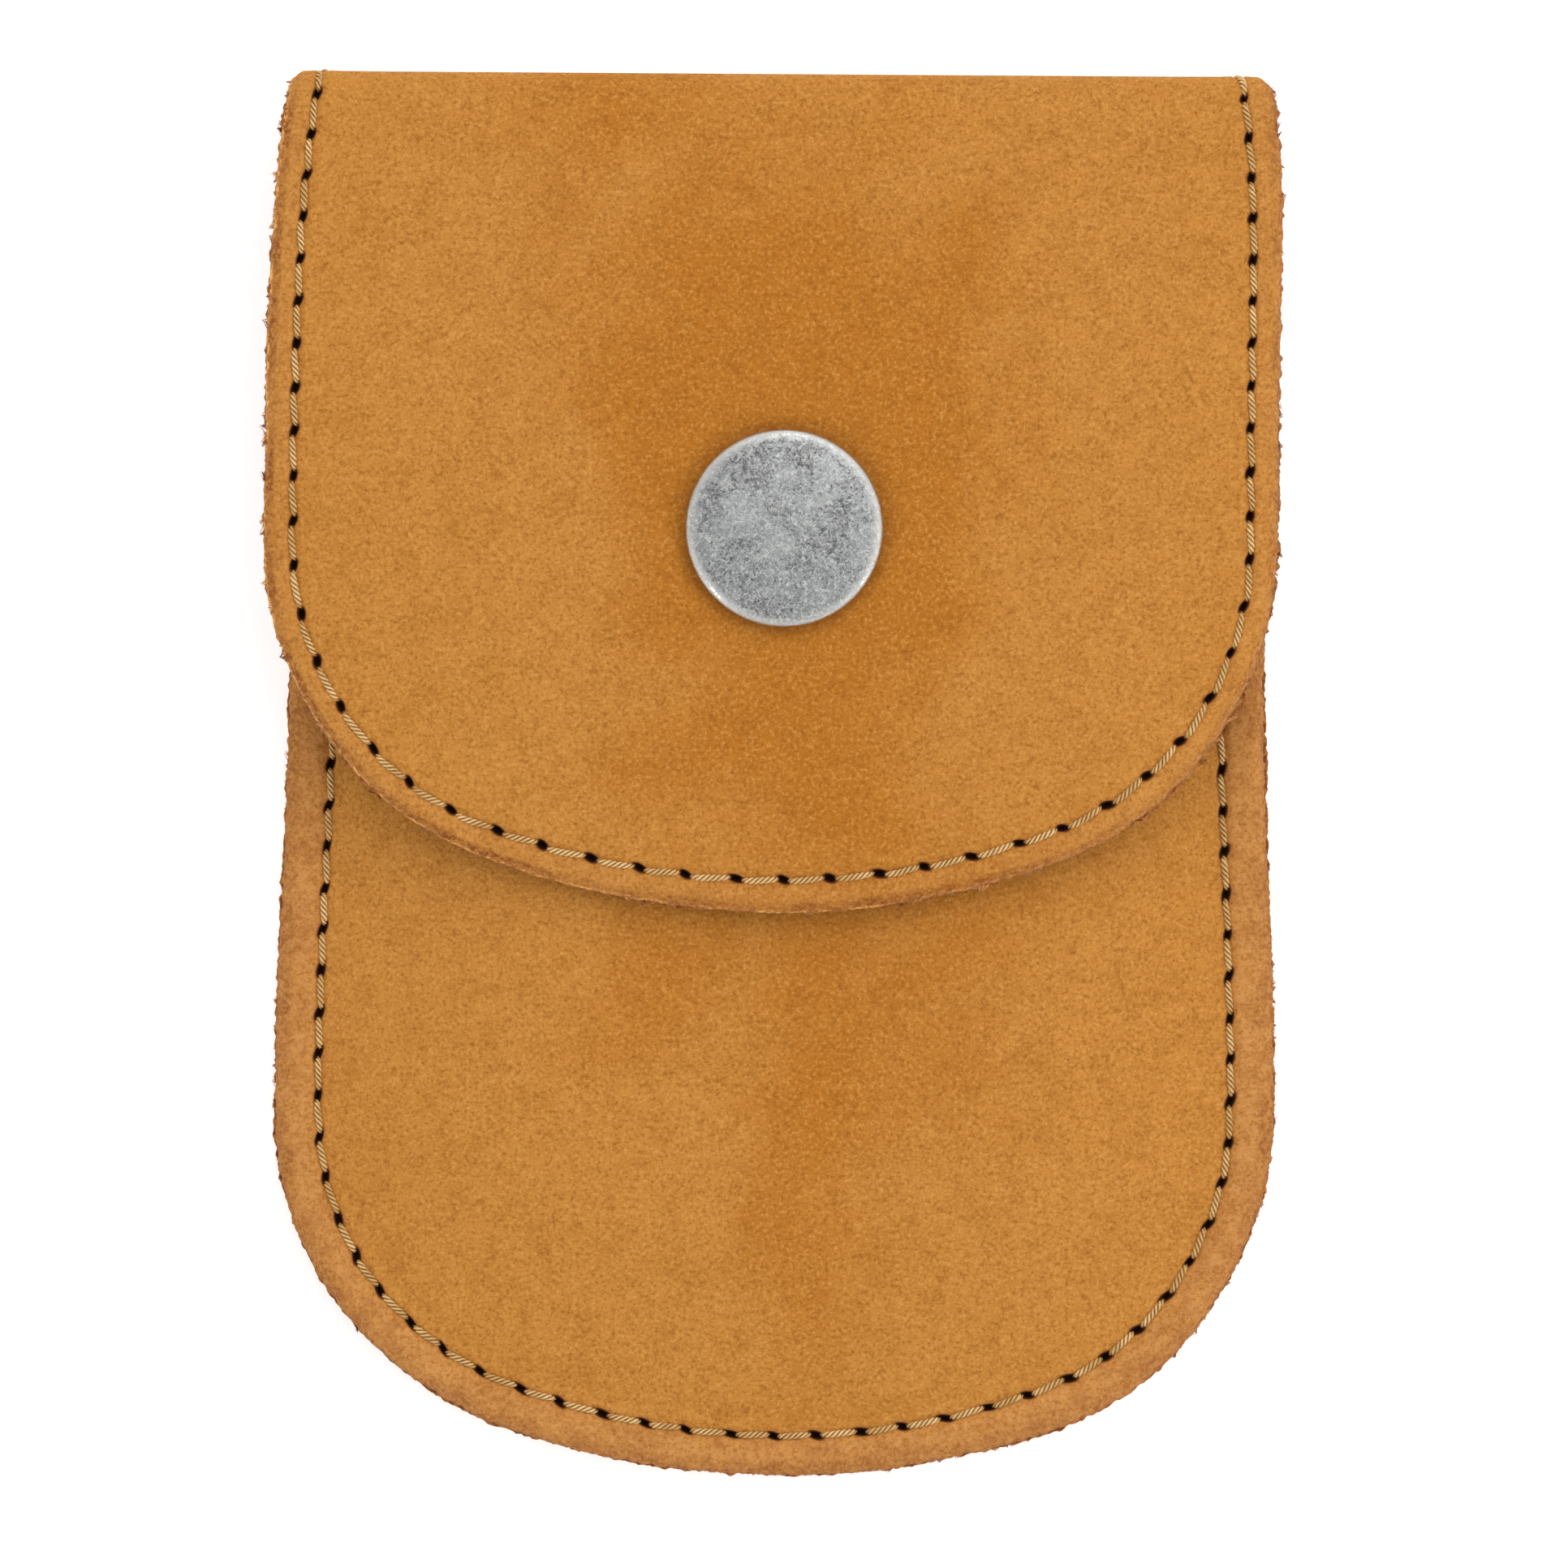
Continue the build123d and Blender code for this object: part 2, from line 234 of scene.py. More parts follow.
class Shell:
    """Half of the outer leather's face: from half way up the fold, round a crease, along the flap or back."""
    ARC_POINTS = 40                # round the crease
    TAIL_STEP = 0.3                # spacing of points after it
    OVERRUN = 3                    # the face goes on this far past the tip

    def __init__(self, is_flap):
        self.is_flap = is_flap
        r = CREASE_RADIUS
        slope = (FOLD_Y - r / 2 - SNAP_Y) / FLAP_ARCH_RADIUS if is_flap else 0.0
        turn = math.pi / 2 - math.atan(slope)
        angle = np.linspace(0, turn, self.ARC_POINTS)
        arc_y = FOLD_Y - r + r * np.cos(angle)
        arc_z = r * np.sin(angle)
        tail_end = FOLD_Y - (FLAP if is_flap else BODY).length - self.OVERRUN
        tail_y = np.arange(arc_y[-1], tail_end, -self.TAIL_STEP)[1:]
        if is_flap:
            tail_z = self.height(tail_y)
            arc_z += self.height(arc_y[-1]) - arc_z[-1]
        else:
            tail_z = np.zeros_like(tail_y)
            arc_z = r - arc_z
        self.y = np.concatenate([[FOLD_Y], arc_y, tail_y])
        self.z = np.concatenate([[MID_FOLD_Z], arc_z, tail_z])
        self.length = np.concatenate([[0], np.cumsum(np.hypot(np.diff(self.y), np.diff(self.z)))])
        self.fold_run = self.length[1]
        self.bend_run = self.length[self.ARC_POINTS]
        self.bend_down = FOLD_Y - arc_y[-1]

    @staticmethod
    def height(y):
        """Z of the flap's arch along its middle line."""
        return FLAP_CROWN - (y - SNAP_Y) ** 2 / (2 * FLAP_ARCH_RADIUS)

    def to_run(self, down):
        """Run length along the leather for a distance below the fold; negative is on the fold itself."""
        down = np.asarray(down, float)
        from_tip = slice(None, self.ARC_POINTS - 1, -1)
        tail = np.interp(FOLD_Y - down, self.y[from_tip], self.length[from_tip])
        bend = self.fold_run + down * (self.bend_run - self.fold_run) / self.bend_down
        return np.where(down > self.bend_down, tail, np.where(down > 0, bend, self.fold_run + down))

    def point(self, x, run):
        """Points of the face, from X and run length."""
        y = np.interp(run, self.length, self.y)
        z = np.interp(run, self.length, self.z)
        if self.is_flap:
            z = z - flap_drop(x, FOLD_Y - y)
        return np.stack([x, y, z], axis=-1)


class Front:
    """Outer face of the front panel: flat along its seam, raised in two gentle slopes behind the snap."""
    SEAM_END = 3.7                 # width of the flat margin that holds the seam
    REACH = 19.5                   # from that margin to the full height
    SAG = 0.3                      # share of its height that it has lost at the tip

    def __init__(self):
        x, down = outline(BODY, (0, 0, 0), MOUTH - 12, 0.5)
        self.tree = KDTree(len(x))
        for i, (px, pd) in enumerate(zip(x, down)):
            self.tree.insert((px, pd, 0), i)
        self.tree.balance()

    def to_run(self, down):
        """The front is nearly flat, so run length is the distance below the fold."""
        return np.asarray(down, float)

    def point(self, x, run):
        """Points of the face, from X and run length."""
        inset = np.array([self.tree.find((px, pr, 0))[2] for px, pr in zip(np.ravel(x), np.ravel(run))])
        t = np.clip((inset.reshape(np.shape(x)) - self.SEAM_END) / self.REACH, 0, 1)
        lower = ease((run - SNAP_DOWN - CAP_RADIUS) / (BODY.length - SNAP_DOWN - CAP_RADIUS))
        full = (PLATEAU - FLANGE_TOP) * (1 - self.SAG * lower)
        rise = full * (1 - (1 - t) ** 1.75) * np.clip(t / 0.06, 0, 1)
        return np.stack([x, FOLD_Y - run, FLANGE_TOP + rise], axis=-1)


def place(surface, x, run, sign):
    """Points of a face and its outward normals."""
    e = 0.15
    across = surface.point(x + e, run) - surface.point(x - e, run)
    along = surface.point(x, run + e) - surface.point(x, run - e)
    normal = sign * np.cross(across, along)
    return surface.point(x, run), normal / np.linalg.norm(normal, axis=-1, keepdims=True)


def wobble(points, scale, seed):
    """Smooth noise between -1 and 1 at each point, with features about scale millimetres across."""
    shift = Vector((seed * 17.3, seed * 5.1, seed * 9.7))
    return np.array([noise.noise(Vector(p) / scale + shift) for p in points])


# -------------------- panels
def hole_mask(seam, count, across):
    """1 in a needle hole, 0 away from it: a slanted slot between two stitches."""
    pitch = np.interp(count, seam.count, seam.pitch)
    nearest = np.round(count)
    along = (count - nearest) * pitch
    inside = (nearest >= seam.holes()[0]) & (nearest <= seam.holes()[-1])
    half_length, half_width, slant = seam.hole
    tilt = math.atan2(2 * slant, 0.75) + 0.12 * np.sin(nearest * 4.1)
    u = (along * np.cos(tilt) + across * np.sin(tilt)) / (half_length + 0.05 * np.sin(nearest * 2.4))
    v = (across * np.cos(tilt) - along * np.sin(tilt)) / (half_width + 0.03 * np.sin(nearest * 5.3))
    return np.exp(-np.abs(u) ** 2.2 - np.abs(v) ** 2.4) * inside


class Sheet:
    """Flat points and faces of a tongue: fine rings along its edge and its seam, a triangulated middle."""

    def __init__(self, shape, top, surface, seam, step, circles=()):
        flats = [outline(shape, insets_at(shape, a), top, step) for a in RINGS]
        xs = np.array([flat[0] for flat in flats])
        runs = surface.to_run(np.array([flat[1] for flat in flats]))
        rings, self.samples = xs.shape
        closing = np.linspace(xs[-1, -1], xs[-1, 0], TOP_POINTS)[1:-1]
        polygon = list(zip(xs[-1], runs[-1])) + [(x, runs[-1, 0]) for x in closing]
        middle = self.middle_points(xs[-1], runs[-1], surface, circles)
        points = [Vector(p) for p in polygon + middle]
        flat = delaunay_2d_cdt(points, [], [list(range(len(polygon)))], 1, 1e-6)
        points = points[self.samples:]

        self.x = np.concatenate([xs.ravel(), [p.x for p in points]])
        self.run = np.concatenate([runs.ravel(), [p.y for p in points]])
        grid = np.arange(rings * self.samples).reshape(rings, self.samples)
        quads = np.stack([grid[:-1, :-1], grid[1:, :-1], grid[1:, 1:], grid[:-1, 1:]], axis=-1)
        self.faces = [tuple(q) for q in quads.reshape(-1, 4).tolist()]
        base = grid[-1, 0]
        for face in flat[2]:
            a, b, c = [int(base + flat[3][i][0]) for i in face]
            turn = ((self.x[b] - self.x[a]) * (self.run[c] - self.run[a])
                    - (self.run[b] - self.run[a]) * (self.x[c] - self.x[a]))
            self.faces.append((a, b, c) if turn < 0 else (c, b, a))
        closing_ids = [int(base + self.samples + k) for k in range(len(closing))]
        self.end_line = [int(i) for i in grid[:, 0]] + closing_ids[::-1] + [int(i) for i in grid[::-1, -1]]

        far = np.full(len(points), FAR)
        self.across = np.concatenate([np.repeat(RINGS, self.samples), far])
        self.count = np.concatenate([np.tile(seam.count, rings), np.zeros(len(points))])
        self.inset = self.across + EDGE
        self.hole = hole_mask(seam, self.count, self.across)
        self.from_snap = np.hypot(self.x - SNAP_X, self.run - surface.to_run(SNAP_DOWN))

    def middle_points(self, ring_x, ring_run, surface, circles):
        """Staggered rows of points inside the last ring, and circles of points round the snap."""
        tree = KDTree(self.samples)
        for i, place_xy in enumerate(zip(ring_x, ring_run)):
            tree.insert((*place_xy, 0), i)
        tree.balance()
        half = self.samples // 2 + 1
        snap_run = float(surface.to_run(SNAP_DOWN))
        keep_out = max(circles, default=-1) + CIRCLE_CLEARANCE
        found = []
        for k, run in enumerate(np.arange(ring_run[0] + MIDDLE_STEP, ring_run[half - 1], MIDDLE_STEP * 0.87)):
            limit = np.interp(run, ring_run[:half], ring_x[:half])
            stagger = (k % 2) * MIDDLE_STEP / 2
            for x in np.arange(-MIDDLE_HALF + stagger, MIDDLE_HALF, MIDDLE_STEP):
                clear = math.hypot(x - SNAP_X, run - snap_run) > keep_out
                if abs(x) < limit and clear and tree.find((x, run, 0))[2] > 0.7 * MIDDLE_STEP:
                    found.append((x, run))
        for k, radius in enumerate(circles):
            stagger = (k % 2) * math.pi / CIRCLE_POINTS
            for turn in np.linspace(0, 2 * math.pi, CIRCLE_POINTS, endpoint=False) + stagger:
                found.append((SNAP_X + radius * math.cos(turn), snap_run + radius * math.sin(turn)))
        return found

    def seam_relief(self, groove, depth):
        """Height change at the seam: a pressed line, a deep hole between stitches, a swell beside them."""
        swell = 0.04 * np.exp(-((np.abs(self.across) - 0.75) / 0.3) ** 2)
        return swell - groove * np.exp(-(self.across / 0.36) ** 2) - depth * self.hole

    def edge_roll(self, drop):
        """Height change where the upper corner of the cut edge is worn round."""
        return -drop * np.clip(1 - self.inset / ROLL_WIDTH, 0, 1) ** 2

    def snap_press(self, radius, drop):
        """Height change where the snap presses into the leather."""
        return -drop / (1 + np.exp((self.from_snap - radius) / 0.28))


def add_mesh(name, points, faces, attributes=None):
    """Mesh object from points in millimetres, with its rest position and other values on its points."""
    mesh = bpy.data.meshes.new(name)
    mesh.from_pydata((np.asarray(points) * MM).tolist(), [], faces)
    mesh.polygons.foreach_set("use_smooth", [True] * len(mesh.polygons))
    values = {"rest_mm": np.asarray(points, float)}
    values.update(attributes or {})
    for key, value in values.items():
        is_vector = value.ndim == 2
        attribute = mesh.attributes.new(key, "FLOAT_VECTOR" if is_vector else "FLOAT", "POINT")
        attribute.data.foreach_set("vector" if is_vector else "value", value.astype(np.float32).ravel())
    mesh.update()
    mesh.set_sharp_from_angle(angle=math.radians(70))
    thing = bpy.data.objects.new(name, mesh)
    bpy.context.collection.objects.link(thing)
    return thing


# Rows down a cut edge: share of the thickness, distance outward, both for leather and for lining.
LEATHER_WALL = ((0.05, 0.1), (0.14, 0.21), (0.28, 0.3), (0.46, 0.36), (0.66, 0.36), (0.86, 0.28))
LINING_WALL = ((0.12, 0.36), (0.35, 0.48), (0.6, 0.48), (0.85, 0.36))
RAGGED_SHARES = (1.0, 0.9, 0.75, 0.5, 0.25)    # how far the outermost rings follow the ragged cut


def build_panel(name, sheet, surface, sign, depths, reliefs, wall, raggedness, seed, crisp=0.0):
    """Closed panel between two depths below an outer face, each with its relief, and a ragged cut edge.

    crisp is 1 for an edge whose cut still shows its pale core, except far to the right, and 0 for an edge
    that handling has dulled all round."""
    base, normal = place(surface, sheet.x, sheet.run, sign)
    upper = base + normal * (reliefs[0] - depths[0])[:, None]
    lower = base - normal * (reliefs[1] + depths[1])[:, None]
    n, count = sheet.samples, len(sheet.x)
    rim = base[:n]
    outward = rim - base[3 * n:4 * n]
    outward /= np.linalg.norm(outward, axis=1, keepdims=True)
    ragged = raggedness * (wobble(rim, 1.1, seed) + 1.2 * wobble(rim, 0.4, seed + 1))
    ragged += 0.14 * wobble(rim, 9.0, seed + 2)
    for ring, share in enumerate(RAGGED_SHARES):
        rows = slice(ring * n, (ring + 1) * n)
        upper[rows] += outward * (ragged * share)[:, None]
        lower[rows] += outward * (ragged * share)[:, None]

    points = [upper, lower]
    strip = [np.arange(n)]
    for k, (share, out) in enumerate(wall):
        rough = out + raggedness * 0.6 * wobble(rim + k * 0.4, 0.6, seed + 5 + k)
        points.append(upper[:n] * (1 - share) + lower[:n] * share + outward * rough[:, None])
        strip.append(2 * count + k * n + np.arange(n))
    strip.append(count + np.arange(n))

    faces = list(sheet.faces)
    faces += [tuple(i + count for i in face[::-1]) for face in faces]
    for a, b in zip(strip[:-1], strip[1:]):
        faces += [tuple(q) for q in np.stack([a[:-1], a[1:], b[1:], b[:-1]], axis=-1).tolist()]
    for i, j in zip(sheet.end_line[:-1], sheet.end_line[1:]):
        faces.append((j, i, i + count, j + count))
    faces.append(tuple(int(row[0]) for row in strip))
    faces.append(tuple(int(row[-1]) for row in strip[::-1]))
    if sign > 0:
        faces = [face[::-1] for face in faces]

    roll = np.clip(1 - sheet.inset / 1.3, 0, 1)
    shares = np.repeat([share for share, _ in wall], n)
    margin = (1 - 0.7 * crisp) / (1 + np.exp((sheet.across + 0.2) / 0.25))
    filler = np.zeros(len(shares))
    pale = crisp * ease(1 - np.concatenate(points)[:, 0] / PALE_END)
    attributes = {
        "roll": np.concatenate([roll, roll, filler + 1]),
        "cut": np.concatenate([0 * roll, roll ** 3, shares]),
        "hole": np.concatenate([sheet.hole, sheet.hole * 0.8, filler]),
        "margin": np.concatenate([margin, margin, filler + 1]),
        "crisp": pale,
        # where the leather gets painted shade in a ring round the snap
        "snap_shade": np.concatenate([np.exp(-((sheet.from_snap - CAP_RADIUS - 0.1) / 0.4) ** 2)] * 2 + [filler]),
    }
    return add_mesh(name, np.concatenate(points), faces, attributes)


def build_leather(name, sheet, face, sign, relief, raggedness, seed, crisp=0.0):
    """Panel of the outer leather, with its relief on the grain side."""
    return build_panel(name, sheet, face, sign, (0, LEATHER), (relief, 0 * relief), LEATHER_WALL,
                       raggedness, seed, crisp)


def build_lining(name, sheet, face, sign, raggedness, seed):
    """Panel of the lining under the outer leather, pressed in along the seam on its open side."""
    under = sheet.seam_relief(0.15, 0.3)
    return build_panel(name, sheet, face, sign, (LEATHER + LINING_GAP, SHELL), (0 * under, under),
                       LINING_WALL, raggedness, seed)


# -------------------- threads and fibres
def tube_faces(rings, sides, offset):
    """Faces of one closed tube whose rings of points follow each other."""
    faces = []
    for i in range(rings - 1):
        for k in range(sides):
            a = offset + i * sides + k
            b = offset + i * sides + (k + 1) % sides
            faces.append((a, b, b + sides, a + sides))
    faces.append(tuple(offset + k for k in range(sides))[::-1])
    faces.append(tuple(offset + (rings - 1) * sides + k for k in range(sides)))
    return faces


def unit(vectors):
    """The same directions with length 1."""
    return vectors / np.linalg.norm(vectors, axis=-1, keepdims=True)


def build_stitches(name, seam, surface, sign, height, seed, keep=lambda hole: True, dive=0.75):
    """Stitches of three twisted plies: each dips into the holes at its two ends."""
    plies, sides, steps = 3, 7, 23
    dice = random.Random(seed)
    around = np.linspace(0, 2 * math.pi, sides, endpoint=False)
    t = np.linspace(*STITCH_SPAN, steps)
    end = np.abs(np.linspace(-1, 1, steps))
    points, faces, dark, inner = [], [], [], []
    for hole in filter(keep, seam.holes()[:-1]):
        slant = seam.hole[2] + dice.uniform(-0.05, 0.05)
        x, run = seam.at(hole + t, slant * (1 - 2 * t) + dice.uniform(-0.03, 0.03))
        base, normal = place(surface, x, run, sign)
        centre = base + normal * (height + dice.uniform(-0.02, 0.02) - dive * end ** 6)[:, None]
        tangent = unit(np.gradient(centre, axis=0))
        side = unit(np.cross(tangent, normal))
        up = np.cross(side, tangent)
        length = np.concatenate([[0], np.cumsum(np.linalg.norm(np.diff(centre, axis=0), axis=1))])
        twist = dice.uniform(0, 2 * math.pi)
        for ply in range(plies):
            angle = twist + 2 * math.pi * (length / PLY_TURN + ply / plies)
            helix = PLY_OFFSET * (1 - 0.6 * end ** 4)
            radius = PLY_RADIUS * (1 - 0.3 * end ** 4) * dice.uniform(0.88, 1.12)
            middle = centre + side * (helix * np.cos(angle))[:, None] + up * (helix * np.sin(angle))[:, None]
            ring = side[:, None] * np.cos(around)[None, :, None] + up[:, None] * np.sin(around)[None, :, None]
            faces += tube_faces(steps, sides, len(points) * sides * steps)
            tube = middle[:, None] + ring * radius[:, None, None]
            out = np.linalg.norm(tube - centre[:, None], axis=2) / (helix + radius)[:, None]
            points.append(tube.reshape(-1, 3))
            # dark is 1 at a stitch's ends and carries painted shade where the thread dips into a hole
            dark.append(np.repeat(end ** 8, sides))
            # inner grows from the thread's outside towards its axis and carries painted shade between the
            # plies
            inner.append(1 - out.ravel())
    attributes = {"dark": np.concatenate(dark), "inner": np.concatenate(inner)}
    return add_mesh(name, np.concatenate(points), faces, attributes)


def build_fibres(name, shape, top, surface, sign, depths, tufts, longest, seed):
    """Loose fibres that stand out of a cut edge, in tufts that run together to a point."""
    sides, steps = 3, 4
    dice = random.Random(seed)
    x, down = outline(shape, insets_at(shape, -EDGE), top, 0.1)
    base, normal = place(surface, x, surface.to_run(down), sign)
    chance = 0.3 + 1.3 * wobble(base, 9.0, seed)
    inner_x, inner_down = outline(shape, insets_at(shape, -EDGE + 0.5), top, 0.1)
    outward = unit(base - surface.point(inner_x, surface.to_run(inner_down)))
    along = unit(np.gradient(base, axis=0))
    around = np.linspace(0, 2 * math.pi, sides, endpoint=False)
    s = np.linspace(0, 1, steps)[:, None]
    points, faces = [], []
    for _ in range(tufts):
        m = dice.randrange(len(x))
        if dice.random() > chance[m]:
            continue
        size = dice.random() ** 2.2
        reach = 0.34 + longest * size
        depth = dice.uniform(*depths)
        tip = base[m] + (outward[m] + along[m] * dice.uniform(-0.8, 0.8)) * reach - normal[m] * depth
        for _ in range(3 + int(10 * size)):
            i = min(max(m + round(dice.gauss(0, 1.4 + 2.2 * size)), 0), len(x) - 1)
            start = base[i] - normal[i] * (depth + dice.uniform(-0.15, 0.15)) + outward[i] * 0.22
            stray = Vector([dice.gauss(0, 0.03 + 0.05 * size) for _ in range(3)])
            path = tip + np.array(stray) - start
            side = unit(np.cross(path, normal[i]))
            up = unit(np.cross(side, path))
            curl = side * dice.uniform(-0.3, 0.3) + up * dice.uniform(-0.2, 0.2)
            middle = start + path * s + curl * s * (1 - s) * reach
            ring = side * np.cos(around)[:, None] + up * np.sin(around)[:, None]
            radius = dice.uniform(0.035, 0.075) * (1 - 0.75 * s)
            faces += tube_faces(steps, sides, len(points) * sides * steps)
            points.append((middle[:, None] + ring[None] * radius[:, None]).reshape(-1, 3))
    return add_mesh(name, np.concatenate(points), faces)


# -------------------- snap cap
def build_cap(name):
    """Spun snap cap: a shallow dome with a rolled rim, slightly dented by wear."""
    seat, top = CAP[0][2], CAP[1][2]
    rise = top - seat
    # radius as a share of the cap's, and millimetres below its top
    flank = ((1.0, 1.1), (1.0, 0.98), (0.997, 0.9), (0.991, 0.8), (0.982, 0.71), (0.968, 0.635),
             (0.948, 0.56), (0.922, 0.485), (0.89, 0.415), (0.85, 0.35), (0.8, 0.29), (0.72, 0.22),
             (0.61, 0.15), (0.46, 0.085), (0.3, 0.035), (0.15, 0.01), (0.05, 0.0))
    profile = [(0.6, 0.0), (0.96, 0.0), (0.99, 0.03)]
    profile += [(radius, 1 - drop / rise) for radius, drop in flank]
    turns = 120
    points, faces = [], []
    for k in range(turns):
        a = 2 * math.pi * k / turns
        for radius, height in profile:
            points.append((SNAP_X + radius * CAP_RADIUS * math.cos(a),
                           SNAP_Y + radius * CAP_RADIUS * math.sin(a), seat + height * rise))
    rows = len(profile)
    for k in range(turns):
        for i in range(rows - 1):
            a, b = k * rows + i, (k + 1) % turns * rows + i
            faces.append((a, b, b + 1, a + 1))
    below, above = len(points), len(points) + 1
    points += [(SNAP_X, SNAP_Y, seat), (SNAP_X, SNAP_Y, top)]
    for k in range(turns):
        a, b = k * rows, (k + 1) % turns * rows
        faces += [(below, b, a), (above, a + rows - 1, b + rows - 1)]
    points = np.array(points)
    upward = np.clip((points[:, 2] - seat) / rise, 0, 1)
    points[:, 2] += 0.03 * wobble(points, 2.6, 31) * upward
    from_axis = np.hypot(points[:, 0] - SNAP_X, points[:, 1] - SNAP_Y) / CAP_RADIUS
    return add_mesh(name, points, faces, {"rim": np.clip((from_axis - 0.87) / 0.13, 0, 1),
                                          "ring": np.exp(-((from_axis - 0.72) / 0.2) ** 2)})


# -------------------- materials
def srgb(red, green, blue):
    """Linear colour from the usual 0 to 255 values."""
    channels = [c / 255 for c in (red, green, blue)]
    return (*[c / 12.92 if c <= 0.04045 else ((c + 0.055) / 1.055) ** 2.4 for c in channels], 1.0)


class Shading:
    """One material's node tree, with short calls for the nodes that the materials share."""

    def __init__(self, name, slot, use_rest=True):
        self.slot = slot
        self.material = bpy.data.materials.new(name)
        self.material.use_nodes = True
        self.tree = self.material.node_tree
        self.shader = self.tree.nodes["Principled BSDF"]
        self.colour = None             # each material gives its first colour and paints over it
        if use_rest:
            self.place = self.attribute("rest_mm", "Vector")
        else:
            metres = self.node("ShaderNodeTexCoord").outputs["Object"]
            self.place = self.vector("MULTIPLY", metres, (1 / MM, 1 / MM, 1 / MM)).outputs[0]

    def node(self, kind, **settings):
        node = self.tree.nodes.new(kind)
        for key, value in settings.items():
            setattr(node, key, value)
        return node

    def put(self, socket, value):
        """Links an output to a socket, or sets the socket to a plain value."""
        if isinstance(value, bpy.types.NodeSocket):
            self.tree.links.new(value, socket)
        else:
            socket.default_value = value

    def attribute(self, name, output="Fac"):
        """Values that the mesh carries on its points."""
        return self.node("ShaderNodeAttribute", attribute_name=name).outputs[output]

    def noise(self, size, detail=2.0, roughness=0.5, distortion=0.0):
        """Noise from 0 to 1 whose features are about size millimetres across."""
        node = self.node("ShaderNodeTexNoise")
        self.put(node.inputs["Vector"], self.place)
        for key, value in (("Scale", 1 / size), ("Detail", detail), ("Roughness", roughness),
                           ("Distortion", distortion)):
            node.inputs[key].default_value = value
        return node.outputs["Fac"]

    def ramp(self, value, low, high, to_low=0.0, to_high=1.0):
        """Maps low..high to to_low..to_high, clamped and smooth."""
        node = self.node("ShaderNodeMapRange", interpolation_type="SMOOTHSTEP")
        for key, number in zip(("Value", "From Min", "From Max", "To Min", "To Max"),
                               (value, low, high, to_low, to_high)):
            self.put(node.inputs[key], number)
        return node.outputs[0]

    def curls(self, size, distortion):
        """Thin curling lines: 1 on a line, 0 beside it."""
        level = self.noise(size, 3, 0.6, distortion)
        away = self.math("ABSOLUTE", self.math("SUBTRACT", level, 0.5))
        return self.ramp(away, 0.0, 0.045, 1.0, 0.0)

    def spot(self, centre, reach):
        """1 at a centre, falling smoothly to 0 at about twice reach, which is given for each axis."""
        offset = self.vector("SUBTRACT", self.place, centre).outputs[0]
        share = self.vector("DIVIDE", offset, reach).outputs[0]
        return self.ramp(self.vector("LENGTH", share).outputs["Value"], 0.0, 2.0, 1.0, 0.0)

    def vector(self, operation, a, b=(0, 0, 0)):
        """Node for one sum on vectors."""
        node = self.node("ShaderNodeVectorMath", operation=operation)
        self.put(node.inputs[0], a)
        self.put(node.inputs[1], b)
        return node

    def paint(self, mask, colour):
        """Lays a colour over the material's colour so far, where mask is 1."""
        self.colour = self.mix(mask, self.colour, colour)

    def math(self, operation, a, b=0.0):
        node = self.node("ShaderNodeMath", operation=operation)
        self.put(node.inputs[0], a)
        self.put(node.inputs[1], b)
        return node.outputs[0]

    def mix(self, factor, a, b):
        """Colour a where factor is 0, b where it is 1."""
        node = self.node("ShaderNodeMix", data_type="RGBA")
        for socket, value in zip((node.inputs[0], node.inputs[6], node.inputs[7]), (factor, a, b)):
            self.put(socket, value)
        return node.outputs[2]

    def bump(self, height, distance, strength, under=None):
        """Bump whose height of 1 is distance millimetres, on top of another bump if one is given."""
        node = self.node("ShaderNodeBump")
        node.inputs["Strength"].default_value = strength
        node.inputs["Distance"].default_value = distance * MM
        self.put(node.inputs["Height"], height)
        if under is not None:
            self.put(node.inputs["Normal"], under)
        return node.outputs[0]

    def finish(self, **sockets):
        """Fills the shader's own sockets; an underscore stands for a space."""
        self.put(self.shader.inputs["Base Color"], self.colour)
        for key, value in sockets.items():
            self.put(self.shader.inputs[key.replace("_", " ")], value)
        return self


